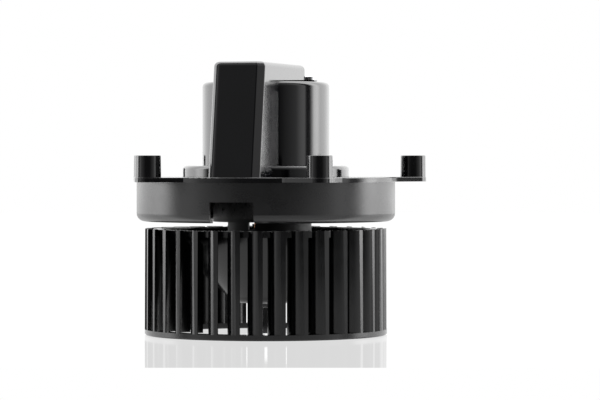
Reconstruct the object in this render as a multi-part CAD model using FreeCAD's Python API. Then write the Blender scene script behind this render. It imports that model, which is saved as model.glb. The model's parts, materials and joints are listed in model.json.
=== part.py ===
import FreeCAD, Part
import math
import os

from FreeCAD import Vector

# Cabin blower: motor, mounting flange and centrifugal fan wheel on one vertical axis.
# Millimetres. +Z runs up the motor axis towards the closed end of the motor cover.
# Z = 0 is the underside of the flange plate, which is the face that meets the air box.
# -Y is the side of the cooling-air hood and the notch in the skirt.

UP = Vector(0, 0, 1)
ORIGIN = Vector(0, 0, 0)

# flange plate and skirt
PLATE_T = 2.9
PLATE_R = 82.6
PLATE_BORE = 36.5
EDGE_R = 0.5
SKIRT_R = 80.7
SKIRT_WALL = 2.5
SKIRT_Z = -24.7
SKIRT_ROLL = 5.0
LIP_R = 72.5

# fixing posts on their ears
POST_CIRCLE_R = 92.3
POST_TURNS = (-140.1, -69.05, 3.0, 75.0, 146.95)
POST_R_FOOT = 8.0
POST_R_TOP = 7.8
POST_TOP = 16.3
POST_BORE = 4.0
SLEEVE_BORE = 2.75
SLEEVE_TOP = 15.9
EAR_R = 8.2
EAR_ROOT_R = 23.0
EAR_ROOT_AT = 68.0

# motor cover
CAN_R = 39.7
CAN_WALL = 2.0
CAN_TOP = 61.8
CAN_FILLET = 3.0
RING_R = 52.0
RING_TOP = 9.9
RING_FILLET = 2.6
GROOVE_R = (41.2, 49.0)
GROOVE_TOP = 6.4

# cooling-air hood, a box that leans in towards the motor
HOOD_TURN = -106.5
HOOD_SIDE = (-14.0, 18.7)
HOOD_FOOT_R = 77.0
HOOD_TOP_R = 65.6
HOOD_END_R = -22.0
HOOD_TOP = 73.1
HOOD_WALL = 1.8
HOOD_CORNER = 5.5
HOOD_BEVEL = 4.0
HOOD_BEVEL_EDGE = 1.2
HOOD_EDGE = 3.2
LUG_X = 3.0
LUG_OUT = 10.6
LUG_W = 10.0
LUG_T = 1.2
HOOD_SCREW_R = 1.6
HOOD_SCREW_TIP = 55.9
AIR_PORT = (54.0, 72.6)
NOTCH_WIDTH = 27.6
NOTCH_TURN = -104.6
NOTCH_TOP = -12.0

# motor
YOKE_R = 33.0
YOKE_WALL = 1.8
YOKE_TOP = 55.0
YOKE_BOTTOM = -23.0
YOKE_BOSS_R = 12.0
YOKE_BOSS_TOP = 58.5
MAGNET_IN_R = 23.3
MAGNET_Z = (0.0, 42.0)
MAGNET_ARC = 140.0
CORE_R = 22.6
CORE_Z = (2.0, 40.0)
SLOTS = 12
SHAFT_R = 4.0
SHAFT_Z = (-94.8, 56.2)
BEARING_BALL_R = 7.0
BEARING_LEN = 8.0
BEARING_CLEARANCE = 0.03
TOP_BEARING_Z = 52.7
LOW_BEARING_Z = -38.0
COMM_R = 10.0
COMM_Z = (-19.0, -5.0)

# end bracket below the motor
CUP_R = 28.5
CUP_WALL = 2.0
CUP_FLOOR = -36.0
BOSS_R = 10.2
BOSS_FLOOR = -44.0
WINDOWS = ((-107.4, 8.4, -29.4), (113.0, 40.0, -31.0))
WINDOW_TOP = -25.0
CUP_FLAT_X = -23.4

# brush gear
CARD_Z = (-20.0, -18.0)
BRUSH_W = 5.8
BRUSH_H = 7.8
BRUSH_GAP = 0.1
BRUSH_X = (10.15, 20.5)
BRUSH_Z = -13.0
HOLDER_X = (11.6, 27.0)
HOLDER_WALL = 0.9
PIGTAIL_X = 18.0
PIGTAIL_Y = 7.0
CHOKES = ((0.5, 16.0), (-3.2, -18.5))
CHOKE_Z = -28.3

# motor fixing
LUG_R = 47.0
LUG_TURNS = (30.0, 150.0, 270.0)
BRACKET_Z = (-5.9, -4.4)
SCREW_R = 1.9

# plug socket on the flange
SOCKET_X = (-21.0, 3.0)
SOCKET_Y = (58.5, 72.5)
SOCKET_TOP = 19.0
TERMINAL_X = (-13.0, -5.0)
TERMINAL_Y = 65.5
LEAD_R = 1.3

# fan wheel
WHEEL_BOTTOM = -95.5
WHEEL_TOP = -29.3
WHEEL_R_BOTTOM = 75.7
WHEEL_R_TOP = 75.4
BLADES = 34
BLADE_ARC_R = 9.8
BLADE_ARC_AT = 65.81
BLADE_ARC = (-129.1, -5.0)
BLADE_T = 1.0
BLADE_TURN = -90.17
CLIP_BLADES = (-9, 8)
CLIP_Z = (8.9, 11.9)
FOOT_RING_H = 3.5
FOOT_RING_IN = 66.9
TOP_RING_R = (65.5, 70.5)
TOP_RING_Z = (-33.5, -29.6)
DOME_FLAT = (16.8, -75.5)
DOME_TURN = (23.9, -71.7)
DOME_T = 2.0
HUB_Z = (-78.0, -58.0)
HUB_R = 10.0
INSERT_R = 6.5


# ---------------------------------------------------------------- helpers

def tube(r_out, r_in, z0, z1, x=0.0, y=0.0):
    """Upright round bar, or a tube where r_in is over 0."""
    at = Vector(x, y, z0)
    solid = Part.makeCylinder(r_out, z1 - z0, at, UP)
    if r_in > 0:
        solid = solid.cut(Part.makeCylinder(r_in, z1 - z0, at, UP))
    return solid


def block(x, y, z):
    """Box from its three (low, high) pairs."""
    return Part.makeBox(x[1] - x[0], y[1] - y[0], z[1] - z[0], Vector(x[0], y[0], z[0]))


def lathe(path):
    """Solid of revolution. A point is (r, z); an arc is (mid_r, mid_z, end_r, end_z)."""
    edges = []
    here = Vector(path[0][0], 0, path[0][1])
    for step in list(path[1:]) + [path[0]]:
        end = Vector(step[-2], 0, step[-1])
        if len(step) == 4:
            edges.append(Part.Arc(here, Vector(step[0], 0, step[1]), end).toShape())
        else:
            edges.append(Part.LineSegment(here, end).toShape())
        here = end
    return Part.Face(Part.Wire(edges)).revolve(ORIGIN, UP, 360)


def turned(shape, degrees):
    copy = shape.copy()
    copy.rotate(ORIGIN, UP, degrees)
    return copy


def polar(radius, degrees):
    return radius * math.cos(math.radians(degrees)), radius * math.sin(math.radians(degrees))


def fused(shapes):
    return shapes[0].multiFuse(list(shapes[1:])).removeSplitter()


def prism(points, z0, z1):
    """Upright prism over a closed outline of (x, y) points."""
    corners = [Vector(x, y, z0) for x, y in points]
    return Part.Face(Part.makePolygon(corners + corners[:1])).extrude(Vector(0, 0, z1 - z0))


def sector(r_out, r_in, z0, z1, middle, span):
    """Part of a ring, span degrees wide about the middle angle."""
    wedge = Part.makeCylinder(r_out, z1 - z0, Vector(0, 0, z0), UP, span)
    wedge = wedge.cut(Part.makeCylinder(r_in, z1 - z0, Vector(0, 0, z0), UP))
    return turned(wedge, middle - span / 2)


def pipe(points, bend, radius):
    """Round rod along straight runs that are joined by tangent arcs of one radius."""
    edges = []
    here = Vector(*points[0])
    for before, corner, after in zip(points, points[1:], points[2:]):
        corner = Vector(*corner)
        back = (Vector(*before) - corner).normalize()
        ahead = (Vector(*after) - corner).normalize()
        half = back.getAngle(ahead) / 2
        reach = bend / math.tan(half)
        start, end = corner + back * reach, corner + ahead * reach
        middle = (back + ahead).normalize()
        top = corner + middle * (bend / math.sin(half) - bend)
        edges.append(Part.LineSegment(here, start).toShape())
        edges.append(Part.Arc(start, top, end).toShape())
        here = end
    edges.append(Part.LineSegment(here, Vector(*points[-1])).toShape())
    first = Vector(*points[1]) - Vector(*points[0])
    ring = Part.Wire(Part.makeCircle(radius, Vector(*points[0]), first))
    return Part.Wire(edges).makePipeShell([ring], True, False)


def coil(radius, wire_r, x0, x1, z, turns):
    """Compression spring from x0 to x1, with its axis parallel to X at height z."""
    per_turn = 12
    points = []
    for k in range(per_turn * turns + 1):
        angle = 2 * math.pi * k / per_turn
        along = k / (per_turn * turns)
        points.append(Vector(x0 + (x1 - x0) * along, radius * math.cos(angle), z + radius * math.sin(angle)))
    path = Part.BSplineCurve()
    path.interpolate(points)
    ring = Part.Wire(Part.makeCircle(wire_r, points[0], path.tangent(path.FirstParameter)[0]))
    return Part.Wire(path.toShape()).makePipeShell([ring], True, True)


def rounded(shape, radius, wanted):
    """Fillet the edges for which wanted(edge) is true."""
    return shape.makeFillet(radius, [e for e in shape.Edges if wanted(e)])


def save(name, solids):
    solids = solids if isinstance(solids, list) else [solids]
    shape = solids[0] if len(solids) == 1 else Part.makeCompound(solids)
    shape.exportStep("parts/" + name + ".step")
    print(name, len(shape.Solids), "solid", round(shape.Volume / 1000, 2), "cm3", shape.isValid())


# ---------------------------------------------------------------- flange housing

def ear_outline(turn, z0, z1):
    """Tapered ear: the post's circle and a wider root circle, with their tangent lines."""
    gap = POST_CIRCLE_R - EAR_ROOT_AT
    lean = math.asin((EAR_ROOT_R - EAR_R) / gap)
    corners = []
    for side in (1, -1):
        across, along = side * math.cos(lean), math.sin(lean)
        corners.append((EAR_ROOT_AT + EAR_ROOT_R * along, EAR_ROOT_R * across))
        corners.append((POST_CIRCLE_R + EAR_R * along, EAR_R * across))
    near, far = corners[:2], corners[2:]
    body = prism([near[0], near[1], far[1], far[0]], z0, z1)
    tip = tube(EAR_R, 0, z0, z1, POST_CIRCLE_R, 0)
    root = tube(EAR_ROOT_R, 0, z0, z1, EAR_ROOT_AT, 0)
    return turned(fused([body, tip, root]), turn)


def flange_housing():
    wall_in = SKIRT_R - SKIRT_WALL
    roll_at = (SKIRT_R - SKIRT_ROLL, SKIRT_Z + SKIRT_ROLL)
    roll_in = SKIRT_ROLL - SKIRT_WALL
    half = math.sqrt(0.5)
    pan = lathe([
        (PLATE_BORE, PLATE_T), (PLATE_BORE, 0), (wall_in, 0), (wall_in, roll_at[1]),
        (roll_at[0] + roll_in * half, roll_at[1] - roll_in * half, roll_at[0], roll_at[1] - roll_in),
        (LIP_R, SKIRT_Z + SKIRT_WALL), (LIP_R, SKIRT_Z), (roll_at[0], SKIRT_Z),
        (roll_at[0] + SKIRT_ROLL * half, roll_at[1] - SKIRT_ROLL * half, SKIRT_R, roll_at[1]),
        (SKIRT_R, 0), (PLATE_R, 0), (PLATE_R, PLATE_T - EDGE_R),
        (PLATE_R - EDGE_R + EDGE_R * half, PLATE_T - EDGE_R + EDGE_R * half, PLATE_R - EDGE_R, PLATE_T),
    ])
    ears, posts = [], []
    for turn in POST_TURNS:
        ears.append(rounded(ear_outline(turn, 0, PLATE_T), EDGE_R, lambda e: e.BoundBox.ZMin > PLATE_T - 0.01))
        x, y = polar(POST_CIRCLE_R, turn)
        post = Part.makeCone(POST_R_FOOT, POST_R_TOP, POST_TOP, Vector(x, y, 0), UP)
        posts.append(rounded(post, EDGE_R, lambda e: e.BoundBox.ZMin > POST_TOP - 0.01))
    body = fused([pan] + ears + posts)

    port_half = (HOOD_SIDE[1] - HOOD_SIDE[0]) / 2 - HOOD_WALL
    port_mid = (HOOD_SIDE[0] + HOOD_SIDE[1]) / 2
    port = block(AIR_PORT, (port_mid - port_half, port_mid + port_half), (-1, PLATE_T + 1))
    notch = block((LIP_R - 4, SKIRT_R + 4), (-NOTCH_WIDTH / 2, NOTCH_WIDTH / 2),
                  (SKIRT_Z - 1, NOTCH_TOP))
    cuts = [turned(port, HOOD_TURN), turned(notch, NOTCH_TURN)]
    for turn in POST_TURNS:
        cuts.append(tube(POST_BORE, 0, -1, POST_TOP + 1, *polar(POST_CIRCLE_R, turn)))
    for turn in LUG_TURNS:
        cuts.append(tube(2.2, 0, -1, PLATE_T + 1, *polar(LUG_R, turn)))
    cuts.append(block(SOCKET_X, SOCKET_Y, (-1, PLATE_T + 1)))
    return body.cut(fused(cuts))


def post_sleeves():
    return [tube(POST_BORE, SLEEVE_BORE, 0, SLEEVE_TOP, *polar(POST_CIRCLE_R, turn))
            for turn in POST_TURNS]


# ---------------------------------------------------------------- cover and hood

def hood_prism(side, foot, top_r, end, top, base):
    """Leaning hood shape in its own frame: X outwards, Y across, Z up."""
    outline = [(end, top), (top_r, top), (foot, base), (0, base), (0, CAN_TOP - 4), (end, CAN_TOP - 4)]
    face = Part.Face(Part.makePolygon([Vector(r, side[0], z) for r, z in outline + outline[:1]]))
    return face.extrude(Vector(0, side[1] - side[0], 0))


def is_hood_front_corner(edge):
    box = edge.BoundBox
    return box.ZLength > 40 and box.XMin > 40


def bevelled(shape, width):
    """Hood shape with its corner on the screw side cut off flat."""
    return shape.makeChamfer(width, [e for e in shape.Edges if is_hood_front_corner(e) and e.BoundBox.YMin > 0])


def is_hood_top_edge(edge):
    box = edge.BoundBox
    return box.ZMin > HOOD_TOP - HOOD_CORNER - 1 and box.ZMax > HOOD_TOP - 0.01


def can_solid(grow=0.0):
    """Outside of the can and its base ring, which the hood is trimmed to."""
    r, f = CAN_R + grow, CAN_FILLET
    h = math.sqrt(0.5)
    return lathe([
        (0, PLATE_T), (RING_R, PLATE_T), (RING_R, RING_TOP - RING_FILLET),
        (RING_R - RING_FILLET + RING_FILLET * h, RING_TOP - RING_FILLET + RING_FILLET * h,
         RING_R - RING_FILLET, RING_TOP),
        (r, RING_TOP), (r, CAN_TOP - f),
        (r - f + f * h, CAN_TOP - f + f * h, r - f, CAN_TOP), (0, CAN_TOP),
    ])


def hood_inside():
    between = (HOOD_SIDE[0] + HOOD_WALL, HOOD_SIDE[1] - HOOD_WALL)
    return hood_prism(between, HOOD_FOOT_R - HOOD_WALL, HOOD_TOP_R - HOOD_WALL,
                      HOOD_END_R + HOOD_WALL, HOOD_TOP - HOOD_WALL, PLATE_T - 1)


def cooling_hood():
    shell = hood_prism(HOOD_SIDE, HOOD_FOOT_R, HOOD_TOP_R, HOOD_END_R, HOOD_TOP, PLATE_T)
    shell = bevelled(shell, HOOD_BEVEL)
    shell = rounded(shell, HOOD_CORNER, lambda e: is_hood_front_corner(e) and e.BoundBox.YMax < 0)
    shell = rounded(shell, HOOD_EDGE, is_hood_top_edge)
    shell = rounded(shell, HOOD_BEVEL_EDGE, lambda e: is_hood_front_corner(e) and e.BoundBox.YMin > 0)
    lug_y = HOOD_SIDE[1]
    lug = block((LUG_X - LUG_W / 2, LUG_X + LUG_W / 2), (lug_y - 1, lug_y + LUG_OUT + LUG_W / 2 - 0.5),
                (CAN_TOP, CAN_TOP + LUG_T))
    lug = rounded(lug, 4.0, lambda e: e.BoundBox.ZLength > 1 and e.BoundBox.YMin > lug_y + LUG_OUT)
    hole = tube(HOOD_SCREW_R, 0, CAN_TOP - 1, CAN_TOP + 3, LUG_X, lug_y + LUG_OUT)
    shell = shell.fuse(lug).cut(hole)
    inner = bevelled(hood_inside(), HOOD_BEVEL - HOOD_WALL * (2 - math.sqrt(2)))
    return turned(shell.cut(inner), HOOD_TURN).cut(can_solid())


def hood_screw_at():
    """Place of the hood screw in the part's own frame."""
    spot = Vector(LUG_X, HOOD_SIDE[1] + LUG_OUT, 0)
    return FreeCAD.Rotation(UP, HOOD_TURN).multVec(spot)


def hood_screw():
    at = hood_screw_at()
    low, high = CAN_TOP + LUG_T, CAN_TOP + LUG_T + 2.8
    head = tube(3.6, 0, low, high, at.x, at.y)
    head = rounded(head, 1.3, lambda e: e.BoundBox.ZMin > high - 0.1)
    for turn in (0, 90):
        slot = block((-2.2, 2.2), (-0.45, 0.45), (high - 1.4, high + 1))
        slot = turned(slot, turn + 20)
        slot.translate(Vector(at.x, at.y, 0))
        head = head.cut(slot)
    return head.fuse(tube(HOOD_SCREW_R, 0, HOOD_SCREW_TIP, low, at.x, at.y))


def motor_cover():
    inner = can_solid().cut(lathe([(0, PLATE_T - 1), (CAN_R - CAN_WALL, PLATE_T - 1),
                                   (CAN_R - CAN_WALL, CAN_TOP - CAN_WALL), (0, CAN_TOP - CAN_WALL)]))
    groove = tube(GROOVE_R[1], GROOVE_R[0], PLATE_T - 1, GROOVE_TOP)
    shell = inner.cut(groove)
    bosses = [tube(4.2, 0, PLATE_T, GROOVE_TOP + 1, *polar(LUG_R, turn)) for turn in LUG_TURNS]
    bosses = [b.common(tube(RING_R - 1, CAN_R, PLATE_T, GROOVE_TOP + 1)) for b in bosses]
    at = hood_screw_at()
    screw_boss = tube(3.2, 0, HOOD_SCREW_TIP, CAN_TOP - 0.5, at.x, at.y)
    shell = fused([shell, screw_boss] + bosses)
    window = block((-14.0, 24.0), (HOOD_SIDE[0] + 4, HOOD_SIDE[1] - 4), (CAN_TOP - 4, CAN_TOP + 2))
    window = rounded(window, 3.0, lambda e: e.BoundBox.ZLength > 4)
    cuts = [tube(SCREW_R, 0, PLATE_T - 1, 8.2, *polar(LUG_R, turn)) for turn in LUG_TURNS]
    cuts += [turned(window, HOOD_TURN), tube(HOOD_SCREW_R, 0, HOOD_SCREW_TIP, CAN_TOP + 1, at.x, at.y)]
    return shell.cut(fused(cuts))


# ---------------------------------------------------------------- motor, fixed side

def motor_yoke():
    r, w = YOKE_R, YOKE_WALL
    f, h = 3.5, math.sqrt(0.5)
    shell = lathe([
        (r, YOKE_BOTTOM), (r, YOKE_TOP - f), (r - f + f * h, YOKE_TOP - f + f * h, r - f, YOKE_TOP),
        (YOKE_BOSS_R, YOKE_TOP), (YOKE_BOSS_R, YOKE_BOSS_TOP), (0, YOKE_BOSS_TOP),
        (0, YOKE_BOSS_TOP - w), (YOKE_BOSS_R - w, YOKE_BOSS_TOP - w), (YOKE_BOSS_R - w, YOKE_TOP - w),
        (r - w, YOKE_TOP - w), (r - w, YOKE_BOTTOM),
    ])
    holes = [tube(3.8, 0, YOKE_TOP - 4, YOKE_TOP + 1, *polar(21.5, turn)) for turn in range(0, 360, 60)]
    return shell.cut(fused(holes))


def magnets():
    r_out = YOKE_R - YOKE_WALL
    return [sector(r_out, MAGNET_IN_R, *MAGNET_Z, middle, MAGNET_ARC) for middle in (0, 180)]


def magnet_clips():
    r_out = YOKE_R - YOKE_WALL
    clips = []
    for middle in (90, 270):
        strip = sector(r_out, r_out - 1.0, MAGNET_Z[0] + 3, MAGNET_Z[1] - 3, middle, 34)
        fold = sector(r_out - 1.0, r_out - 4.0, MAGNET_Z[0] + 3, MAGNET_Z[1] - 3, middle, 4)
        clips.append(fused([strip, fold]))
    return clips


def bearing(z):
    ball = Part.makeSphere(BEARING_BALL_R, Vector(0, 0, z))
    slab = tube(BEARING_BALL_R + 1, SHAFT_R + BEARING_CLEARANCE, z - BEARING_LEN / 2, z + BEARING_LEN / 2)
    return ball.common(slab)


def top_bearing_retainer():
    under = YOKE_TOP - YOKE_WALL
    low = TOP_BEARING_Z - BEARING_LEN / 2
    ring = lathe([(6.7, low + 0.4), (15, low + 0.4), (15, under), (13.8, under), (13.8, low + 1.4),
                  (6.7, low + 1.4)])
    slots = [turned(block((9.0, 12.6), (-1.2, 1.2), (low, low + 2)), turn) for turn in range(0, 360, 45)]
    return ring.cut(fused(slots))


def top_oil_felt():
    top = YOKE_BOSS_TOP - YOKE_WALL
    return tube(YOKE_BOSS_R - YOKE_WALL, BEARING_BALL_R + 0.1, YOKE_TOP - 3.6, top - 0.6)


def low_bearing_retainer():
    z = CUP_FLOOR + CUP_WALL
    ring = tube(12.5, 5.2, z, z + 0.9)
    slots = [turned(block((7.0, 11.0), (-1.0, 1.0), (z - 1, z + 2)), turn) for turn in range(0, 360, 60)]
    return ring.cut(fused(slots))


def low_oil_felt():
    return tube(BOSS_R - CUP_WALL, BEARING_BALL_R + 0.1, BOSS_FLOOR + CUP_WALL + 0.5, CUP_FLOOR)


def end_bracket():
    """Moulded end bracket: spigot, flange, cup with two windows and an open flat, and bearing boss."""
    spigot_r = YOKE_R - YOKE_WALL
    flange_z = YOKE_BOTTOM - 2.0
    cup_in = CUP_R - CUP_WALL
    boss_in = BOSS_R - CUP_WALL
    body = lathe([
        (SHAFT_R + 0.8, BOSS_FLOOR), (BOSS_R, BOSS_FLOOR), (BOSS_R, CUP_FLOOR), (CUP_R - 1.5, CUP_FLOOR),
        (CUP_R, CUP_FLOOR + 1.5), (CUP_R, flange_z), (YOKE_R, flange_z), (YOKE_R, YOKE_BOTTOM),
        (spigot_r, YOKE_BOTTOM), (spigot_r, CARD_Z[0]), (cup_in, CARD_Z[0]),
        (cup_in, CUP_FLOOR + CUP_WALL), (boss_in, CUP_FLOOR + CUP_WALL),
        (boss_in, BOSS_FLOOR + CUP_WALL), (SHAFT_R + 0.8, BOSS_FLOOR + CUP_WALL),
    ])
    cuts = [sector(CUP_R + 1, cup_in - 1, low, WINDOW_TOP, turn, span) for turn, span, low in WINDOWS]
    cuts.append(block((-CUP_R - 1, CUP_FLAT_X), (-CUP_R, CUP_R), (CUP_FLOOR - 1, flange_z)))
    for turn in range(30, 360, 60):
        cuts.append(sector(24.5, 15.0, CUP_FLOOR - 1, CUP_FLOOR + CUP_WALL + 1, turn, 32))
    return body.cut(fused(cuts))


def brush_card():
    plate = tube(YOKE_R - YOKE_WALL, 12.6, *CARD_Z)
    cuts = [sector(24.0, 15.5, CARD_Z[0] - 1, CARD_Z[1] + 1, turn, 44) for turn in (90, 270)]
    wire_hole = tube(1.0, 0, CARD_Z[0] - 1, CARD_Z[1] + 1, PIGTAIL_X, PIGTAIL_Y)
    cuts += [wire_hole, turned(wire_hole, 180)]
    return plate.cut(fused(cuts))


def brush_holder(turn):
    """Brass box that guides one carbon brush, closed at its outer end."""
    y = BRUSH_W / 2 + BRUSH_GAP
    z = BRUSH_H / 2 + BRUSH_GAP
    outer = block(HOLDER_X, (-y - HOLDER_WALL, y + HOLDER_WALL), (CARD_Z[1], BRUSH_Z + z + HOLDER_WALL))
    inner = block((HOLDER_X[0] - 1, HOLDER_X[1] - HOLDER_WALL), (-y, y), (BRUSH_Z - z, BRUSH_Z + z))
    slot = block((13.0, 24.5), (-1.2, 1.2), (BRUSH_Z, BRUSH_Z + 8))
    return turned(outer.cut(inner).cut(slot), turn)


def carbon_brush(turn):
    body = block((BRUSH_X[0] - 1.2, BRUSH_X[1]), (-BRUSH_W / 2, BRUSH_W / 2),
                 (BRUSH_Z - BRUSH_H / 2, BRUSH_Z + BRUSH_H / 2))
    return turned(body.cut(tube(BRUSH_X[0], 0, -30, 0)), turn)


def brush_spring(side):
    """Spring between the brush and the closed end of its holder; side is 1 or -1."""
    wire_r, gap = 0.3, 0.05
    start = BRUSH_X[1] + wire_r + gap
    end = HOLDER_X[1] - HOLDER_WALL - wire_r - gap
    return coil(2.1, wire_r, side * start, side * end, BRUSH_Z, 4)


def brush_pigtail(turn):
    top = BRUSH_Z + BRUSH_H / 2
    x, y = PIGTAIL_X, PIGTAIL_Y
    path = [(x, 0, top), (x, 0, top + 4.5), (x, y, top + 4.5), (x, y, CARD_Z[0])]
    return turned(pipe(path, 2.0, 0.7), turn)


def choke(x, y):
    """Ferrite rod along X and the copper wire wound on it."""
    along = Vector(1, 0, 0)
    length, core_r, wire_r, turns = 10.0, 2.2, 0.62, 8

    def rod(radius, span):
        return Part.makeCylinder(radius, span, Vector(x - span / 2, y, CHOKE_Z), along)

    first = -(turns - 1) / 2
    rings = [Part.makeTorus(core_r + 0.7, wire_r, Vector(x + first + k, y, CHOKE_Z), along)
             for k in range(turns)]
    winding = fused([rod(core_r + 0.8, turns - 1)] + rings).cut(rod(core_r, length + 2))
    return rod(core_r, length), winding


def motor_bracket():
    """Steel ring pressed on the yoke, with three lugs for the rubber mounts."""
    parts = [tube(38.0, YOKE_R, *BRACKET_Z)]
    for turn in LUG_TURNS:
        arm = block((YOKE_R + 2, LUG_R), (-6.0, 6.0), BRACKET_Z)
        parts.append(turned(fused([arm, tube(6.0, 0, *BRACKET_Z, LUG_R, 0)]), turn))
    collar = tube(YOKE_R + 1.5, YOKE_R, BRACKET_Z[0] - 5.0, BRACKET_Z[0])
    body = fused(parts + [collar])
    return body.cut(fused([tube(2.2, 0, -10, 0, *polar(LUG_R, turn)) for turn in LUG_TURNS]))


def rubber_mounts():
    return [tube(6.5, 2.2, BRACKET_Z[1], 0, *polar(LUG_R, turn)) for turn in LUG_TURNS]


def motor_screws():
    screws = []
    for turn in LUG_TURNS:
        x, y = polar(LUG_R, turn)
        head = tube(4.4, 0, BRACKET_Z[0] - 3.0, BRACKET_Z[0], x, y)
        head = rounded(head, 1.2, lambda e: e.BoundBox.ZMax < BRACKET_Z[0] - 2.9)
        recess = Part.makeCone(0.6, 2.0, 1.6, Vector(x, y, BRACKET_Z[0] - 1.6), Vector(0, 0, -1))
        screws.append(head.cut(recess).fuse(tube(SCREW_R, 0, BRACKET_Z[0], 8.0, x, y)))
    return screws


def damping_ring(z0, z1, r_out):
    """Soft ring between the yoke and its seat, with a groove round the middle."""
    middle = (z0 + z1) / 2
    return lathe([(YOKE_R, z0), (r_out, z0), (r_out, middle - 0.8), (r_out - 1.2, middle),
                  (r_out, middle + 0.8), (r_out, z1), (YOKE_R, z1)])


# ---------------------------------------------------------------- wiring

def plug_socket():
    wall = 1.8
    shell = block(SOCKET_X, SOCKET_Y, (-4.0, SOCKET_TOP))
    shell = rounded(shell, 2.2, lambda e: e.BoundBox.ZLength > 20)
    flange = block((SOCKET_X[0] - 1.6, SOCKET_X[1] + 1.6), (SOCKET_Y[0] - 1.6, SOCKET_Y[1] + 1.6),
                   (PLATE_T, PLATE_T + 1.6))
    body = shell.fuse(flange)
    cavity = block((SOCKET_X[0] + wall, SOCKET_X[1] - wall), (SOCKET_Y[0] + wall, SOCKET_Y[1] - wall),
                   (2.0, SOCKET_TOP + 1))
    cuts = [cavity]
    for x in TERMINAL_X:
        cuts.append(block((x - 3.15, x + 3.15), (TERMINAL_Y - 0.4, TERMINAL_Y + 0.4), (-6.0, 3.0)))
    latch = block((-12.0, -6.0), (SOCKET_Y[1], SOCKET_Y[1] + 1.6), (11.0, 14.0))
    return fused([body.cut(fused(cuts)), latch])


def terminals():
    return [block((x - 3.15, x + 3.15), (TERMINAL_Y - 0.4, TERMINAL_Y + 0.4), (-9.0, 14.0))
            for x in TERMINAL_X]


def motor_leads():
    """Two insulated leads from the socket's terminals to the chokes in the end bracket."""
    leads = []
    for x in TERMINAL_X:
        path = [(x, TERMINAL_Y, -9.0), (x, TERMINAL_Y, -19.0), (x, 44.0, -19.0),
                (x, 34.0, CHOKE_Z), (x, 19.3, CHOKE_Z)]
        leads.append(pipe(path, 4.0, LEAD_R))
    return leads


# ---------------------------------------------------------------- rotor

def lamination(z0, z1, radius):
    disc = tube(radius, SHAFT_R, z0, z1)
    cuts = []
    for k in range(SLOTS):
        pocket = prism([(11.5, -2.0), (20.4, -4.0), (20.4, 4.0), (11.5, 2.0)], z0, z1)
        mouth = block((19.0, radius + 1), (-0.9, 0.9), (z0, z1))
        cuts.append(turned(fused([pocket, mouth]), 360.0 / SLOTS * k))
    return disc.cut(fused(cuts))


def armature_windings():
    """Coil sides in the slots and the end turns above and below the core."""
    insulation = 1.0
    low, high = CORE_Z[0] - insulation, CORE_Z[1] + insulation
    sides = [turned(prism([(12.0, -1.7), (20.0, -3.6), (20.0, 3.6), (12.0, 1.7)], low, high),
                    360.0 / SLOTS * k) for k in range(SLOTS)]
    top = lathe([(8.0, high), (20.6, high), (20.6, high + 3.5), (19.0, high + 5.5, 15.0, high + 6.0),
                 (8.0, high + 4.5)])
    bottom = lathe([(9.0, low), (20.6, low), (20.6, low - 2.5), (18.5, low - 3.8, 15.0, low - 4.2),
                    (9.0, low - 3.2)])
    return fused(sides + [top, bottom])


def commutator_bars():
    bars = []
    for k in range(SLOTS):
        bar = sector(COMM_R, 7.5, *COMM_Z, 360.0 / SLOTS * k, 360.0 / SLOTS - 3.5)
        hook = sector(COMM_R + 1.2, COMM_R, COMM_Z[1] - 1.5, COMM_Z[1], 360.0 / SLOTS * k, 9.0)
        bars.append(fused([bar, hook]))
    return bars


def thrust_washers():
    return [tube(6.5, SHAFT_R, z, z + 0.8) for z in (-32.6, 47.4)]


def shaft():
    bar = tube(SHAFT_R, 0, *SHAFT_Z)
    bar = bar.makeChamfer(0.6, [e for e in bar.Edges if e.BoundBox.ZLength < 0.01])
    flat = block((SHAFT_R - 0.6, SHAFT_R + 1), (-5, 5), (SHAFT_Z[0] - 1, HUB_Z[0] + 14))
    return bar.cut(flat)


# ---------------------------------------------------------------- fan wheel

def hub_insert():
    sleeve = tube(INSERT_R, SHAFT_R, HUB_Z[0], HUB_Z[1] - 2)
    key = block((SHAFT_R - 0.6, SHAFT_R + 1), (-3.5, 3.5), (HUB_Z[0], HUB_Z[0] + 14))
    return fused([sleeve, key.common(tube(SHAFT_R + 0.5, 0, HUB_Z[0], HUB_Z[0] + 14))])


def fan_dome():
    """Bowl that carries the blades' top ring and closes the wheel round the motor."""
    flat_r, flat_z = DOME_FLAT
    turn_r, turn_z = DOME_TURN
    edge_r, edge_z = TOP_RING_R[0], TOP_RING_Z[0]
    lean = math.atan2(edge_z - turn_z, edge_r - turn_r)
    lift_r, lift_z = -DOME_T * math.sin(lean), DOME_T * math.cos(lean)
    bend_r, bend_z = flat_r + 4.0, flat_z + 0.9
    bowl = lathe([
        (INSERT_R, HUB_Z[0]), (HUB_R - 1.6, HUB_Z[0]), (HUB_R, flat_z), (flat_r, flat_z),
        (bend_r, bend_z, turn_r, turn_z), (edge_r, edge_z), (edge_r, edge_z + DOME_T / math.cos(lean)),
        (turn_r + lift_r, turn_z + lift_z),
        (bend_r + lift_r / 2, bend_z + DOME_T * 0.93, flat_r, flat_z + DOME_T),
        (HUB_R, flat_z + DOME_T), (HUB_R - 0.3, HUB_Z[1]), (INSERT_R, HUB_Z[1]),
    ])
    ribs = []
    for k in range(6):
        web = Part.Face(Part.makePolygon([
            Vector(HUB_R - 1, -0.8, -74.5), Vector(17.0, -0.8, -74.5), Vector(24.0, -0.8, -68.5),
            Vector(HUB_R - 1, -0.8, -61.0), Vector(HUB_R - 1, -0.8, -74.5)])).extrude(Vector(0, 1.6, 0))
        ribs.append(turned(web, 60 * k + 15))
    return fused([bowl] + ribs)


def fan_top_ring():
    return tube(TOP_RING_R[1], TOP_RING_R[0], *TOP_RING_Z)


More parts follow.
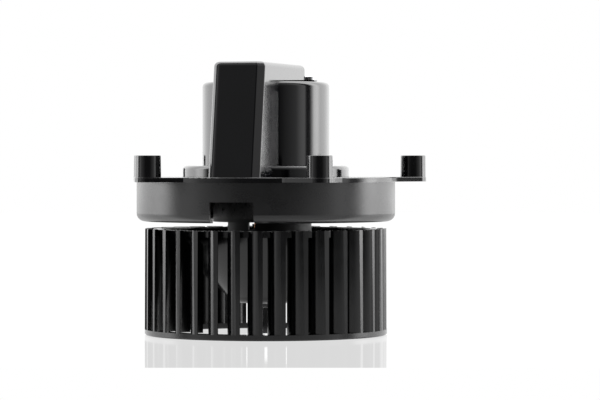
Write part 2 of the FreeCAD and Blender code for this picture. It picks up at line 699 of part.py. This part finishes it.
def fan_foot_ring():
    r = WHEEL_R_BOTTOM
    top = WHEEL_BOTTOM + FOOT_RING_H
    return lathe([(FOOT_RING_IN, WHEEL_BOTTOM + 0.6), (FOOT_RING_IN + 0.8, WHEEL_BOTTOM),
                  (r - 0.8, WHEEL_BOTTOM), (r, WHEEL_BOTTOM + 0.8), (r, top), (FOOT_RING_IN, top)])


def blade_arc(thickness, first, last, z0, z1):
    """Part of the blade's arc, between two angles about the arc's own centre."""
    piece = sector(BLADE_ARC_R + thickness / 2, BLADE_ARC_R - thickness / 2, z0, z1,
                   (first + last) / 2, last - first)
    piece.translate(Vector(BLADE_ARC_AT, 0, 0))
    return piece


def blade_solid():
    """One blade in its own frame, trimmed to the wheel's taper, the top ring and the dome."""
    low = WHEEL_BOTTOM + FOOT_RING_H
    blade = blade_arc(BLADE_T, *BLADE_ARC, low, WHEEL_TOP)
    blade = blade.common(Part.makeCone(WHEEL_R_BOTTOM, WHEEL_R_TOP, WHEEL_TOP - low, Vector(0, 0, low), UP))
    above_dome = lathe([DOME_TURN, (TOP_RING_R[0], TOP_RING_Z[0]), (TOP_RING_R[1], TOP_RING_Z[0]),
                        (TOP_RING_R[1], WHEEL_TOP + 1), (DOME_TURN[0], WHEEL_TOP + 1)])
    return blade.cut(above_dome)


def fan_blades():
    blade = blade_solid()
    return [turned(blade, BLADE_TURN + 360.0 / BLADES * k) for k in range(BLADES)]


def fan_clip():
    ring = tube(6.2, SHAFT_R, HUB_Z[0] - 0.7, HUB_Z[0])
    slots = [turned(block((SHAFT_R - 1, 5.2), (-0.5, 0.5), (HUB_Z[0] - 1, HUB_Z[0] + 1)), turn)
             for turn in range(20, 360, 60)]
    return ring.cut(fused(slots))


def balance_clips():
    """Steel clips pushed over the inner edges of two blades."""
    low, high = WHEEL_BOTTOM + CLIP_Z[0], WHEEL_BOTTOM + CLIP_Z[1]
    clip = blade_arc(BLADE_T + 1.0, BLADE_ARC[0] - 4, BLADE_ARC[0] + 32, low, high).cut(blade_solid())
    return [turned(clip, BLADE_TURN + 360.0 / BLADES * k) for k in CLIP_BLADES]


os.makedirs("parts", exist_ok=True)

save("flange_housing", flange_housing())
save("post_sleeves", post_sleeves())
save("motor_cover", motor_cover())
save("cooling_hood", cooling_hood())
save("hood_screw", hood_screw())

save("motor_yoke", motor_yoke())
save("magnets", magnets())
save("magnet_clips", magnet_clips())
save("top_bearing", bearing(TOP_BEARING_Z))
save("top_bearing_retainer", top_bearing_retainer())
save("top_oil_felt", top_oil_felt())
save("low_bearing", bearing(LOW_BEARING_Z))
save("low_bearing_retainer", low_bearing_retainer())
save("low_oil_felt", low_oil_felt())
save("end_bracket", end_bracket())
save("brush_card", brush_card())
for side, turn, way in (("right", 0, 1), ("left", 180, -1)):
    save("brush_holder_" + side, brush_holder(turn))
    save("carbon_brush_" + side, carbon_brush(turn))
    save("brush_spring_" + side, brush_spring(way))
    save("brush_pigtail_" + side, brush_pigtail(turn))
chokes = [choke(x, y) for x, y in CHOKES]
save("choke_cores", [core for core, _ in chokes])
save("choke_windings", [winding for _, winding in chokes])
save("motor_bracket", motor_bracket())
save("rubber_mounts", rubber_mounts())
save("motor_screws", motor_screws())
save("top_damping_ring", damping_ring(38.0, 45.0, CAN_R - CAN_WALL))
save("low_damping_ring", damping_ring(-2.0, 2.9, PLATE_BORE))

save("plug_socket", plug_socket())
save("socket_terminals", terminals())
save("motor_leads", motor_leads())

save("shaft", shaft())
save("armature_core", lamination(*CORE_Z, CORE_R))
save("slot_insulators", [lamination(z, z + 1.0, CORE_R - 0.8) for z in (CORE_Z[0] - 1.0, CORE_Z[1])])
save("armature_windings", armature_windings())
save("commutator_hub", tube(7.5, SHAFT_R, COMM_Z[0] - 0.8, COMM_Z[1] + 1.0))
save("commutator_bars", commutator_bars())
save("thrust_washers", thrust_washers())

save("hub_insert", hub_insert())
save("fan_dome", fan_dome())
save("fan_blades", fan_blades())
save("fan_top_ring", fan_top_ring())
save("fan_foot_ring", fan_foot_ring())
save("fan_clip", fan_clip())
save("balance_clips", balance_clips())
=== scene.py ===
import json
import math

import bpy
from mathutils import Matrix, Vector

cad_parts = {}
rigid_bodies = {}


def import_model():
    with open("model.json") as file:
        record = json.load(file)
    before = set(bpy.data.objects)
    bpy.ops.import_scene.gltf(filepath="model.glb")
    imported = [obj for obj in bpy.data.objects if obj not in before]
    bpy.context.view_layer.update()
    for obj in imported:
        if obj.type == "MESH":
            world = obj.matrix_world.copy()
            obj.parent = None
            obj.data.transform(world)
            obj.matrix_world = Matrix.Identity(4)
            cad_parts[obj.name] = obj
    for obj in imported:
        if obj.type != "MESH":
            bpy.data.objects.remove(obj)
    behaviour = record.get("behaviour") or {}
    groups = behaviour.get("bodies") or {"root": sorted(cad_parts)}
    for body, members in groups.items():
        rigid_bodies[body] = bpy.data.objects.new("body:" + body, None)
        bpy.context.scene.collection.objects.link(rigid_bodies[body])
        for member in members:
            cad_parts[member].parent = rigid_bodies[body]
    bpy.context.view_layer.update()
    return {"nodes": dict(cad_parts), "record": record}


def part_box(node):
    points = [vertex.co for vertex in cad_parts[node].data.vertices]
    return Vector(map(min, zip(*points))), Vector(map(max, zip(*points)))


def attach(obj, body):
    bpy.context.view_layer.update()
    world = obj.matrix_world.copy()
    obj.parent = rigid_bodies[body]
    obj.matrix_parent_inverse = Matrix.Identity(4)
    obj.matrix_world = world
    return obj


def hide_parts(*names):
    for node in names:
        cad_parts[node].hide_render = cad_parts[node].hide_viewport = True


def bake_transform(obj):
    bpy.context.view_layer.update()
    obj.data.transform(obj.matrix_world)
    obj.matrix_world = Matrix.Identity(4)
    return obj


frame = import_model()
nodes = frame["nodes"]
slot_of = {p["node"]: p["material_slot"] for p in frame["record"]["subparts"]}

MM = 0.001

FLOOR_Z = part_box("fan_foot_ring")[0].z
ARMATURE_BOTTOM, ARMATURE_TOP = [corner.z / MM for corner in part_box("armature_windings")]


# ---------------------------------------------------------------- camera

CAMERA_RIGHT = 21.3 * MM
CAMERA_AWAY = 1931 * MM
CAMERA_OVER_FLOOR = 111.4 * MM
CAMERA_PITCH_DOWN = 0.816
CAMERA_LENS = 185.4
CAMERA_CLIP = (0.05, 50)
SENSOR = 36.0


def add_camera():
    data = bpy.data.cameras.new("camera")
    data.lens = CAMERA_LENS
    data.sensor_width = SENSOR
    data.clip_start, data.clip_end = CAMERA_CLIP
    camera = bpy.data.objects.new("camera", data)
    bpy.context.scene.collection.objects.link(camera)
    camera.location = (CAMERA_RIGHT, -CAMERA_AWAY, FLOOR_Z + CAMERA_OVER_FLOOR)
    camera.rotation_euler = (math.radians(90 - CAMERA_PITCH_DOWN), 0, 0)
    bpy.context.scene.camera = camera


# ---------------------------------------------------------------- studio

# Brightness of the studio by the angle between a direction and the front (-Y), in degrees:
# a dim room in front that grows lighter towards the sides, a black flag at each side, a
# long soft box past each flag, and a white sweep behind. STUDIO_LEAN is the share by which
# the right is brighter than the middle, and the left darker.
STUDIO = (
    (0, 0.06), (22, 0.07), (36, 0.26), (57, 0.55), (66, 1.2), (75, 1.5), (79, 0.10), (87.5, 0.10),
    (93, 3.0), (98, 7.0), (107, 7.0), (116, 4.2), (130, 3.2), (150, 2.4), (180, 1.3),
)
STUDIO_LEAN = 0.12

# The share of the motor cover that shows in the reflections on its neighbours.
COVER_IN_REFLECTIONS = 0.5

# The glossy board lies under the object and behind it, with the matt table before it.
BOARD_FRONT = -307 * MM
TABLE_FRONT = -620 * MM
BOARD_GLOSS = 0.30
BOARD_ROUGH = 0.06
STAGE_HALF = 4000 * MM


def add_studio():
    brightest = max(level for _, level in STUDIO)
    world = bpy.data.worlds.new("studio")
    bpy.context.scene.world = world
    world.use_nodes = True
    tree = world.node_tree
    tree.nodes.clear()
    new, link = tree.nodes.new, tree.links.new
    place = new("ShaderNodeTexCoord")
    split = new("ShaderNodeSeparateXYZ")
    link(place.outputs["Generated"], split.inputs[0])
    from_front = new("ShaderNodeMath")  # 0 in front and 1 behind
    from_front.operation = "MULTIPLY_ADD"
    from_front.inputs[1].default_value = 0.5
    from_front.inputs[2].default_value = 0.5
    link(split.outputs["Y"], from_front.inputs[0])
    ramp = new("ShaderNodeValToRGB")
    link(from_front.outputs[0], ramp.inputs[0])
    stops = ramp.color_ramp.elements
    stops[1].position = 1.0
    for _ in STUDIO[1:-1]:
        stops.new(0.5)
    for stop, (angle, level) in zip(stops, STUDIO):
        stop.position = (1 - math.cos(math.radians(angle))) / 2
        stop.color = (level / brightest, level / brightest, level / brightest, 1)
    lit = new("ShaderNodeBackground")
    lean = new("ShaderNodeMath")
    lean.operation = "MULTIPLY_ADD"
    lean.inputs[1].default_value = brightest * STUDIO_LEAN
    lean.inputs[2].default_value = brightest
    link(split.outputs["X"], lean.inputs[0])
    link(lean.outputs[0], lit.inputs["Strength"])
    link(ramp.outputs[0], lit.inputs["Color"])
    seen = new("ShaderNodeBackground")
    seen.inputs["Color"].default_value = (1, 1, 1, 1)
    path = new("ShaderNodeLightPath")
    mix = new("ShaderNodeMixShader")
    link(path.outputs["Is Camera Ray"], mix.inputs[0])
    link(lit.outputs[0], mix.inputs[1])
    link(seen.outputs[0], mix.inputs[2])
    out = new("ShaderNodeOutputWorld")
    link(mix.outputs[0], out.inputs["Surface"])


def stage_plane(name, y_low, y_high, gloss):
    """Part of the white table. The board under the object is glossy, the rest is matt."""
    mesh = bpy.data.meshes.new(name)
    corners = [(-STAGE_HALF, y_low, FLOOR_Z), (STAGE_HALF, y_low, FLOOR_Z),
               (STAGE_HALF, y_high, FLOOR_Z), (-STAGE_HALF, y_high, FLOOR_Z)]
    mesh.from_pydata(corners, [], [(0, 1, 2, 3)])
    plane = bpy.data.objects.new(name, mesh)
    bpy.context.scene.collection.objects.link(plane)
    material = bpy.data.materials.new(name)
    material.use_nodes = True
    tree = material.node_tree
    tree.nodes.clear()
    white = tree.nodes.new("ShaderNodeEmission")
    white.inputs["Color"].default_value = (1, 1, 1, 1)
    shine = tree.nodes.new("ShaderNodeBsdfGlossy")
    shine.inputs["Roughness"].default_value = BOARD_ROUGH
    mix = tree.nodes.new("ShaderNodeMixShader")
    mix.inputs[0].default_value = gloss
    out = tree.nodes.new("ShaderNodeOutputMaterial")
    tree.links.new(white.outputs[0], mix.inputs[1])
    tree.links.new(shine.outputs[0], mix.inputs[2])
    tree.links.new(mix.outputs[0], out.inputs["Surface"])
    mesh.materials.append(material)


# ---------------------------------------------------------------- materials

# Sizes in this section are millimetres on the surface.
# tone is the mean colour and spread how far it strays; rough is the range of roughness;
# blotch is the size of the colour patches; grain and depth are the size and height of the
# surface texture; stretch squeezes the texture along an axis, so a small value draws it out;
# bands is (direction, pitch, depth) for layers, turned lines or wires; polished is
# (height, low, high) for the roughness of what stands above a height of the part.
FINISHES = {
    "housing_plastic": dict(
        tone=(0.0012, 0.0012, 0.0017), rough=(0.25, 0.33), blotch=14, grain=0.30, depth=0.010,
        swell=0.05, specular=0.62, polished=(-0.3, 0.12, 0.18)),
    "cover_plastic": dict(
        tone=(0.0014, 0.0015, 0.0022), rough=(0.08, 0.13), blotch=18, grain=0.9, depth=0.002,
        swell=0.04),
    "fan_plastic": dict(
        tone=(0.0016, 0.0017, 0.0021), rough=(0.15, 0.22), blotch=10, grain=0.35, depth=0.005,
        swell=0.03, stretch=(1, 1, 0.25)),
    "bracket_plastic": dict(
        tone=(0.010, 0.010, 0.011), rough=(0.38, 0.50), blotch=7, grain=0.25, depth=0.010),
    "socket_plastic": dict(
        tone=(0.010, 0.010, 0.012), rough=(0.32, 0.44), blotch=6, grain=0.25, depth=0.008),
    "sleeve_steel": dict(
        tone=(0.50, 0.51, 0.52), spread=0.25, rough=(0.30, 0.50), blotch=3, grain=0.20,
        depth=0.008, metallic=1.0, stretch=(1, 1, 0.08)),
    "screw_zinc": dict(
        tone=(0.66, 0.67, 0.68), spread=0.12, rough=(0.16, 0.32), blotch=2, grain=0.12,
        depth=0.004, metallic=1.0),
    "yoke_black": dict(
        tone=(0.010, 0.010, 0.011), spread=0.20, rough=(0.24, 0.38), blotch=5, grain=0.30,
        depth=0.006, stretch=(1, 1, 0.10)),
    "spring_steel": dict(
        tone=(0.66, 0.66, 0.65), spread=0.15, rough=(0.14, 0.28), blotch=2, grain=0.10,
        depth=0.003, metallic=1.0, stretch=(1, 0.15, 1)),
    "shaft_steel": dict(
        tone=(0.060, 0.060, 0.062), spread=0.10, rough=(0.10, 0.22), blotch=4, grain=0.10,
        depth=0.002, metallic=1.0, stretch=(0.1, 0.1, 1)),
    "core_steel": dict(
        tone=(0.30, 0.30, 0.31), spread=0.35, rough=(0.35, 0.55), blotch=3, grain=0.25,
        depth=0.006, metallic=1.0, bands=("Z", 0.5, 0.05)),
    "ferrite": dict(
        tone=(0.070, 0.070, 0.075), spread=0.30, rough=(0.55, 0.80), blotch=2, grain=0.20,
        depth=0.030),
    "bearing_bronze": dict(
        tone=(0.50, 0.33, 0.16), spread=0.30, rough=(0.35, 0.60), blotch=1.5, grain=0.15,
        depth=0.015, metallic=1.0),
    "oil_felt": dict(
        tone=(0.55, 0.48, 0.34), spread=0.45, rough=(0.85, 1.0), blotch=1.2, grain=0.25,
        depth=0.15, stretch=(1, 1, 0.3), sheen=0.3),
    "card_board": dict(
        tone=(0.120, 0.055, 0.025), spread=0.35, rough=(0.40, 0.55), blotch=3, grain=0.35,
        depth=0.008, bands=("Z", 0.25, 0.01)),
    "brass": dict(
        tone=(0.72, 0.53, 0.22), spread=0.15, rough=(0.18, 0.36), blotch=3, grain=0.15,
        depth=0.004, metallic=1.0, stretch=(0.2, 1, 1)),
    "tin_brass": dict(
        tone=(0.72, 0.71, 0.66), spread=0.15, rough=(0.22, 0.40), blotch=2, grain=0.15,
        depth=0.004, metallic=1.0),
    "carbon": dict(
        tone=(0.035, 0.035, 0.038), spread=0.40, rough=(0.45, 0.70), blotch=1, grain=0.15,
        depth=0.015),
    "copper": dict(
        tone=(0.80, 0.36, 0.18), spread=0.20, rough=(0.16, 0.30), blotch=2, grain=0.10,
        depth=0.003, metallic=1.0, coat=0.4),
    "rubber": dict(
        tone=(0.018, 0.018, 0.018), spread=0.30, rough=(0.60, 0.80), blotch=4, grain=0.20,
        depth=0.012),
    "lead_insulation": dict(
        tone=(0.030, 0.030, 0.030), spread=0.20, rough=(0.40, 0.55), blotch=4, grain=0.20,
        depth=0.006),
    "insulator": dict(
        tone=(0.10, 0.22, 0.14), spread=0.20, rough=(0.45, 0.60), blotch=3, grain=0.20,
        depth=0.008),
    "washer_nylon": dict(
        tone=(0.75, 0.73, 0.66), spread=0.08, rough=(0.35, 0.50), blotch=2, grain=0.15,
        depth=0.004),
}

PATCH_DETAIL = 4.0
FINE_DETAIL = 2.0
SWELL_DETAIL = 1.0
SWELL_IN_BLOTCHES = 2.5
NOISE_RANGE = (0.32, 0.68)
NOISE_SUM_RANGE = (0.7, 1.3)
POLISH_EDGE = 0.1
WAVE_LENGTH = math.pi / 10  # of Blender's wave texture at scale 1
WAVE_DISTORTION = 0.3


class Finish:
    """One procedural material, built on the part's own coordinates."""

    def __init__(self, name, tone, rough, blotch, grain, depth, spread=0.18, swell=0.0, metallic=0.0,
                 specular=0.5, coat=0.0, sheen=0.0, stretch=(1, 1, 1), bands=None, polished=None):
        self.material = bpy.data.materials.new(name)
        self.material.use_nodes = True
        self.tree = self.material.node_tree
        self.shader = self.tree.nodes["Principled BSDF"]
        self.shader.inputs["Metallic"].default_value = metallic
        self.shader.inputs["Specular IOR Level"].default_value = specular
        self.shader.inputs["Coat Weight"].default_value = coat
        self.shader.inputs["Sheen Weight"].default_value = sheen
        self.place = self.tree.nodes.new("ShaderNodeTexCoord").outputs["Object"]
        self.normal = None

        patches = self.noise(blotch, PATCH_DETAIL)
        self.paint(patches, tone, spread)
        fine = self.noise(grain, FINE_DETAIL, stretch)
        self.roughen(patches, fine, rough, polished)
        if swell:
            self.raise_by(self.noise(blotch * SWELL_IN_BLOTCHES, SWELL_DETAIL), swell)
        if bands:
            self.raise_by(self.waves(bands[0], bands[1]), bands[2])
        self.raise_by(fine, depth)
        self.tree.links.new(self.normal, self.shader.inputs["Normal"])

    def noise(self, size, detail, stretch=(1, 1, 1)):
        squeeze = self.tree.nodes.new("ShaderNodeMapping")
        squeeze.inputs["Scale"].default_value = stretch
        self.tree.links.new(self.place, squeeze.inputs["Vector"])
        node = self.tree.nodes.new("ShaderNodeTexNoise")
        node.inputs["Scale"].default_value = 1 / (size * MM)
        node.inputs["Detail"].default_value = detail
        self.tree.links.new(squeeze.outputs[0], node.inputs["Vector"])
        return node.outputs[0]

    def waves(self, direction, pitch):
        node = self.tree.nodes.new("ShaderNodeTexWave")
        node.bands_direction = direction
        node.inputs["Scale"].default_value = WAVE_LENGTH / (pitch * MM)
        node.inputs["Distortion"].default_value = WAVE_DISTORTION
        self.tree.links.new(self.place, node.inputs["Vector"])
        return node.outputs[1]

    def paint(self, amount, tone, spread):
        ramp = self.tree.nodes.new("ShaderNodeValToRGB")
        low, high = ramp.color_ramp.elements
        low.position, high.position = NOISE_RANGE
        low.color = (*[c * (1 - spread) for c in tone], 1)
        high.color = (*[min(1.0, c * (1 + spread)) for c in tone], 1)
        self.tree.links.new(amount, ramp.inputs[0])
        self.tree.links.new(ramp.outputs[0], self.shader.inputs["Base Color"])

    def between(self, amount, source, target):
        limits = self.tree.nodes.new("ShaderNodeMapRange")
        limits.inputs["From Min"].default_value = source[0]
        limits.inputs["From Max"].default_value = source[1]
        limits.inputs["To Min"].default_value = target[0]
        limits.inputs["To Max"].default_value = target[1]
        self.tree.links.new(amount, limits.inputs["Value"])
        return limits.outputs[0]

    def roughen(self, patches, fine, span, polished):
        both = self.tree.nodes.new("ShaderNodeMath")
        both.operation = "ADD"
        self.tree.links.new(patches, both.inputs[0])
        self.tree.links.new(fine, both.inputs[1])
        rough = self.between(both.outputs[0], NOISE_SUM_RANGE, span)
        if polished:
            split = self.tree.nodes.new("ShaderNodeSeparateXYZ")
            self.tree.links.new(self.place, split.inputs[0])
            edge, soft = polished[0] * MM, POLISH_EDGE * MM
            above = self.between(split.outputs["Z"], (edge - soft, edge + soft), (0, 1))
            smooth = self.between(both.outputs[0], NOISE_SUM_RANGE, polished[1:])
            mix = self.tree.nodes.new("ShaderNodeMix")
            self.tree.links.new(above, mix.inputs[0])
            self.tree.links.new(rough, mix.inputs[2])
            self.tree.links.new(smooth, mix.inputs[3])
            rough = mix.outputs[0]
        self.tree.links.new(rough, self.shader.inputs["Roughness"])

    def raise_by(self, height, depth):
        bump = self.tree.nodes.new("ShaderNodeBump")
        bump.inputs["Strength"].default_value = 1.0
        bump.inputs["Distance"].default_value = depth * MM
        self.tree.links.new(height, bump.inputs["Height"])
        if self.normal:
            self.tree.links.new(self.normal, bump.inputs["Normal"])
        self.normal = bump.outputs[0]


# ---------------------------------------------------------------- wire pieces

# Millimetres, in the frame's axes. The right brush is described, and the left one mirrors it.
BRUSH_OUT = 20.5
HOLDER_END = 26.1
BRUSH_AXIS_Z = -13.0
BRUSH_TOP_Z = -9.1
SPRING_R = 2.1
SPRING_WIRE = 0.28
SPRING_TURNS = 5.5
SPRING_CLOSED = 0.7
SPRING_CLEARANCE = 0.35
PIGTAIL_X = 18.0
PIGTAIL_Y = 7.0
PIGTAIL_RISE = 4.5
PIGTAIL_END_Z = -20.0
PIGTAIL_BEND = 2.0
STRANDS = 4
STRAND_R = 0.27
STRAND_OFF = 0.38
STRAND_TURNS = 5

CHOKE_CORE_R = 2.2
CHOKE_HALF = 3.6
CHOKE_WIRE = 0.45
CHOKE_TURNS = 8.5
CHOKE_CLEARANCE = 0.02

# Each layer of a coil is (radius, how far its two legs stand in from the middles of their slots).
ARMATURE_SLOTS = 12
COIL_SPAN = 5
COIL_LAYERS = ((14.0, 1.15), (16.6, 1.55), (19.2, 1.95))
COIL_WIRE = 0.95
COIL_CLEARANCE = 0.05
COIL_PAST_CORE = 0.6
COIL_NECK_R = 10.6
COIL_NECK_STEP = 2.4
COIL_ARCH_INNER = 0.55
COIL_ARCH_GAIN = 0.45
COIL_LEG_STEPS = 8
COIL_END_STEPS = 22

TURN_STEPS = 28


def frames_along(path):
    """A point, a side vector and an up vector for each step of a path, without twist."""
    ahead = [(path[min(i + 1, len(path) - 1)] - path[max(i - 1, 0)]).normalized() for i in range(len(path))]
    side = ahead[0].orthogonal().normalized()
    steps = []
    for point, way in zip(path, ahead):
        side = (side - way * side.dot(way)).normalized()
        steps.append((point, side, way.cross(side)))
    return steps


def wire(name, paths, radius, slot, sides=10):
    """Round wires along paths of points, as one closed mesh. All in millimetres."""
    verts, faces = [], []
    for path in paths:
        start = len(verts)
        for point, side, up in frames_along(path):
            for k in range(sides):
                a = 2 * math.pi * k / sides
                verts.append((point + side * (radius * math.cos(a)) + up * (radius * math.sin(a))) * MM)
        last = start + (len(path) - 1) * sides
        for row in range(start, last, sides):
            for k in range(sides):
                n = (k + 1) % sides
                faces.append((row + k, row + n, row + sides + n, row + sides + k))
        faces.append(tuple(range(start + sides - 1, start - 1, -1)))
        faces.append(tuple(range(last, last + sides)))
    mesh = bpy.data.meshes.new(name)
    mesh.from_pydata([tuple(v) for v in verts], [], faces)
    mesh.polygons.foreach_set("use_smooth", [len(f) == 4 for f in faces])
    mesh.update()
    piece = bpy.data.objects.new(name, mesh)
    bpy.context.scene.collection.objects.link(piece)
    mesh.materials.append(finishes[slot])
    return piece


def helix(x0, x1, centre_y, centre_z, radius, turns, closed_ends=0.0):
    """Points of a coil along X. closed_ends is how much of each end turn has no pitch."""
    count = int(TURN_STEPS * turns)
    points = []
    for k in range(count + 1):
        turn = turns * k / count
        rise = (min(max(turn, closed_ends), turns - closed_ends) - closed_ends) / (turns - 2 * closed_ends)
        a = 2 * math.pi * turn
        points.append(Vector((x0 + (x1 - x0) * rise, centre_y + radius * math.cos(a),
                              centre_z + radius * math.sin(a))))
    return points


def eased(corners, reach, per_bend, per_run):
    """Points along straight runs, with a smooth curve round each corner."""
    points = []
    here = corners[0]
    for corner, after in zip(corners[1:], corners[2:] + [None]):
        way = (corner - here).normalized()
        end = corner if after is None else corner - way * reach
        points += [here.lerp(end, k / per_run) for k in range(per_run)]
        if after is None:
            return points + [end]
        out = corner + (after - corner).normalized() * reach
        for k in range(per_bend):
            t = k / per_bend
            points.append(end.lerp(corner, t).lerp(corner.lerp(out, t), t))
        here = out


def stranded(path, strands, off, turns):
    """Paths of strands laid round a middle path."""
    steps = frames_along(path)
    laid = []
    for strand in range(strands):
        points = []
        for i, (point, side, up) in enumerate(steps):
            a = 2 * math.pi * (turns * i / (len(steps) - 1) + strand / strands)
            points.append(point + side * (off * math.cos(a)) + up * (off * math.sin(a)))
        laid.append(points)
    return laid


def add_brush_wires(side, way):
    """Spring and pigtail of one brush. The spring runs between the brush and its holder, clear of both."""
    coil = helix(way * (BRUSH_OUT + SPRING_CLEARANCE), way * (HOLDER_END - SPRING_CLEARANCE),
                 0, BRUSH_AXIS_Z, SPRING_R, SPRING_TURNS, SPRING_CLOSED)
    spring = wire("spring_wire_" + side, [coil], SPRING_WIRE, "spring_steel")
    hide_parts("brush_spring_" + side)
    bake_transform(spring)
    x, y = way * PIGTAIL_X, way * PIGTAIL_Y
    top = BRUSH_TOP_Z + PIGTAIL_RISE
    corners = [Vector((x, 0, BRUSH_TOP_Z)), Vector((x, 0, top)), Vector((x, y, top)),
               Vector((x, y, PIGTAIL_END_Z))]
    route = eased(corners, PIGTAIL_BEND, per_bend=10, per_run=10)
    strands = stranded(route, STRANDS, STRAND_OFF, STRAND_TURNS)
    pigtail = wire("pigtail_braid_" + side, strands, STRAND_R, "copper", sides=8)
    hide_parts("brush_pigtail_" + side)
    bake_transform(pigtail)


def add_choke_windings():
    rods = nodes["choke_cores"].data.vertices
    paths = []
    for front in (True, False):
        spots = [v.co / MM for v in rods if (v.co.y < 0) == front]
        middle = [(min(s[i] for s in spots) + max(s[i] for s in spots)) / 2 for i in range(3)]
        paths.append(helix(middle[0] - CHOKE_HALF, middle[0] + CHOKE_HALF, middle[1], middle[2],
                           CHOKE_CORE_R + CHOKE_WIRE + CHOKE_CLEARANCE, CHOKE_TURNS))
    winding = wire("choke_wire", paths, CHOKE_WIRE, "copper")
    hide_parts("choke_windings")
    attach(winding, "housing")


def coil_leg(angle, layer_r, z_from, z_to):
    """Points of a wire along a slot, up to its end but without it."""
    points = []
    for k in range(COIL_LEG_STEPS):
        z = z_from + (z_to - z_from) * k / COIL_LEG_STEPS
        points.append(Vector((layer_r * math.cos(angle), layer_r * math.sin(angle), z)))
    return points


def coil_end(first, last, layer_r, z_core, rise):
    """Points of a wire from one slot to another over an end of the armature, without the last."""
    depth = (layer_r - COIL_LAYERS[0][0]) / (COIL_LAYERS[-1][0] - COIL_LAYERS[0][0])
    points = []
    for k in range(COIL_END_STEPS):
        t = k / COIL_END_STEPS
        arch = math.sin(math.pi * t)
        a = first + (last - first) * t
        r = layer_r - (layer_r - COIL_NECK_R - COIL_NECK_STEP * depth) * arch
        z = z_core + rise * arch * (COIL_ARCH_INNER + COIL_ARCH_GAIN * depth)
        points.append(Vector((r * math.cos(a), r * math.sin(a), z)))
    return points


def coil_loop(slot, layer_r, off, low, high):
    """One closed turn: up one slot, across the end, down another slot and back."""
    step = 2 * math.pi / ARMATURE_SLOTS
    start = slot * step + off / layer_r
    end = (slot + COIL_SPAN) * step - off / layer_r
    room = COIL_WIRE + COIL_CLEARANCE
    points = coil_leg(start, layer_r, low, high)
    points += coil_end(start, end, layer_r, high, ARMATURE_TOP - room - high)
    points += coil_leg(end, layer_r, high, low)
    points += coil_end(end, start, layer_r, low, -(low - ARMATURE_BOTTOM - room))
    return points + points[:1]


def add_armature_windings():
    core_low, core_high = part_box("armature_core")
    low, high = core_low.z / MM - COIL_PAST_CORE, core_high.z / MM + COIL_PAST_CORE
    paths = [coil_loop(slot, r, off, low, high)
             for slot in range(ARMATURE_SLOTS) for r, off in COIL_LAYERS]
    winding = wire("armature_wire", paths, COIL_WIRE, "copper", sides=8)
    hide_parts("armature_windings")
    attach(winding, "rotor")


def thin_in_reflections(material, share):
    """Keeps only a share of the surface in other surfaces' reflections, and lets light past the rest."""
    tree = material.node_tree
    out = tree.nodes["Material Output"]
    path = tree.nodes.new("ShaderNodeLightPath")
    fade = tree.nodes.new("ShaderNodeMath")
    fade.operation = "MULTIPLY"
    fade.inputs[1].default_value = 1 - share
    tree.links.new(path.outputs["Is Glossy Ray"], fade.inputs[0])
    mix = tree.nodes.new("ShaderNodeMixShader")
    tree.links.new(fade.outputs[0], mix.inputs[0])
    tree.links.new(tree.nodes["Principled BSDF"].outputs[0], mix.inputs[1])
    tree.links.new(tree.nodes.new("ShaderNodeBsdfTransparent").outputs[0], mix.inputs[2])
    tree.links.new(mix.outputs[0], out.inputs["Surface"])


def span(piece, axis):
    places = [v.co[axis] for v in piece.data.vertices]
    return min(places), max(places)


def within(piece, outer):
    """Whether a piece lies in another's bounding rectangle, seen from above, and isn't that piece."""
    for axis in (0, 1):
        low, high = span(piece, axis)
        outer_low, outer_high = span(outer, axis)
        if low < outer_low or high > outer_high:
            return False
    return piece != outer


# ---------------------------------------------------------------- the scene

add_camera()
add_studio()
stage_plane("board", BOARD_FRONT, STAGE_HALF, BOARD_GLOSS)
stage_plane("table", TABLE_FRONT, BOARD_FRONT, 0.0)
bpy.context.scene.view_settings.view_transform = "Standard"

finishes = {slot: Finish(slot, **values).material for slot, values in FINISHES.items()}
for name, node in nodes.items():
    node.data.materials.clear()
    node.data.materials.append(finishes[slot_of[name]])

add_brush_wires("right", 1)
add_brush_wires("left", -1)
add_choke_windings()
add_armature_windings()

# The reflections see through the thinned cover, so what it holds is left out of them.
cover_finish = finishes["cover_plastic"].copy()
thin_in_reflections(cover_finish, COVER_IN_REFLECTIONS)
nodes["motor_cover"].data.materials[0] = cover_finish
for piece in bpy.context.scene.objects:
    if piece.type == "MESH" and within(piece, nodes["motor_cover"]):
        piece.visible_glossy = False
